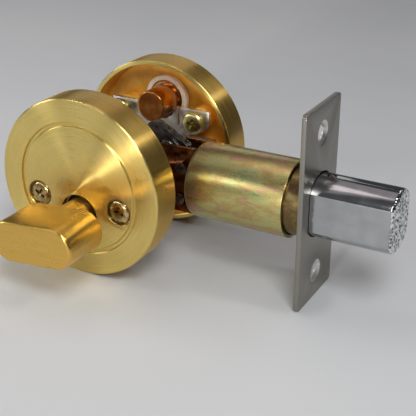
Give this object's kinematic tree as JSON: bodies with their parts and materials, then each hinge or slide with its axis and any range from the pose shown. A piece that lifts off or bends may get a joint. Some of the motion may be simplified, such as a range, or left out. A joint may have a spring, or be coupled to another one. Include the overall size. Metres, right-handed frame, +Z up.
{
  "type": "deadbolt door lock",
  "caption": "Tubular deadbolt with a thumbturn: two round roses clamp the door and a lever-driven bolt slides out of a rectangular faceplate.",
  "frame": {"origin": "bottom centre of the bounding box, level with the faceplate's lower edge", "axes": "+X along the bolt, from the spindle to the bolt's end; +Y from the room side (thumbturn) to the outer side; +Z up the door"},
  "size_m": [0.1242, 0.0826, 0.064],
  "materials": {
    "satin_brass": "brushed satin brass: straight-grained on the faces, turned grain round the rims",
    "polished_brass": "bright turned brass, deep orange where it mirrors the cup",
    "zinc_plate": "bright zinc plated pressed steel",
    "yellow_zinc": "yellow chromate zinc with iridescent bands",
    "satin_nickel": "satin nickel, fine grain across the plate",
    "chrome": "bright chrome, grainy cast end",
    "gunmetal": "dark blued steel",
    "bronzed_steel": "dark brown bronzed steel",
    "aged_nickel": "dull antique nickel",
    "plain_steel": "plain machined steel",
    "nylon": "natural moulded nylon"
  },
  "bodies": {
    "root": {"inside_rose": "satin_brass", "inside_plate": "zinc_plate", "neck_bush": "nylon", "mounting_screw_left": "aged_nickel", "mounting_screw_right": "aged_nickel", "outside_rose": "satin_brass", "outside_plate": "zinc_plate", "plate_screw_left": "yellow_zinc", "plate_screw_right": "yellow_zinc", "threaded_post_left": "plain_steel", "threaded_post_right": "plain_steel", "locating_post": "polished_brass", "nylon_ring": "nylon", "latch_sleeve": "yellow_zinc", "inner_tube": "yellow_zinc", "faceplate": "satin_nickel", "housing_plate_near": "bronzed_steel", "housing_plate_far": "bronzed_steel", "guide_rivet": "plain_steel", "spacer_rivet": "plain_steel"},
    "turn": {"turn_lever": "satin_brass", "spindle_blade": "plain_steel", "blade_roll_pin": "plain_steel", "retaining_clip": "plain_steel", "thrust_washer": "nylon", "crank_hub": "gunmetal", "crank_plate_near": "gunmetal", "crank_plate_middle": "gunmetal", "crank_plate_far": "gunmetal", "crank_pin": "plain_steel"},
    "bolt": {"bolt": "chrome", "bolt_tail": "plain_steel", "bolt_cross_pin": "plain_steel", "anti_saw_pin": "gunmetal"}
  },
  "joints": [
    {"name": "turn_rotate", "type": "hinge", "parent": "root", "child": "turn", "pos_m": [-0.0329, 0.0123, 0.0242], "axis": [0, -1, 0], "range_deg": [0, 90]},
    {"name": "bolt_slide", "type": "slide", "parent": "root", "child": "bolt", "axis": [1, 0, 0], "range_m": [-0.0254, 0]}
  ],
  "couplings": [
    {"joint": "turn_rotate", "follows": "bolt_slide", "rad_per_m": -61.84}
  ]
}
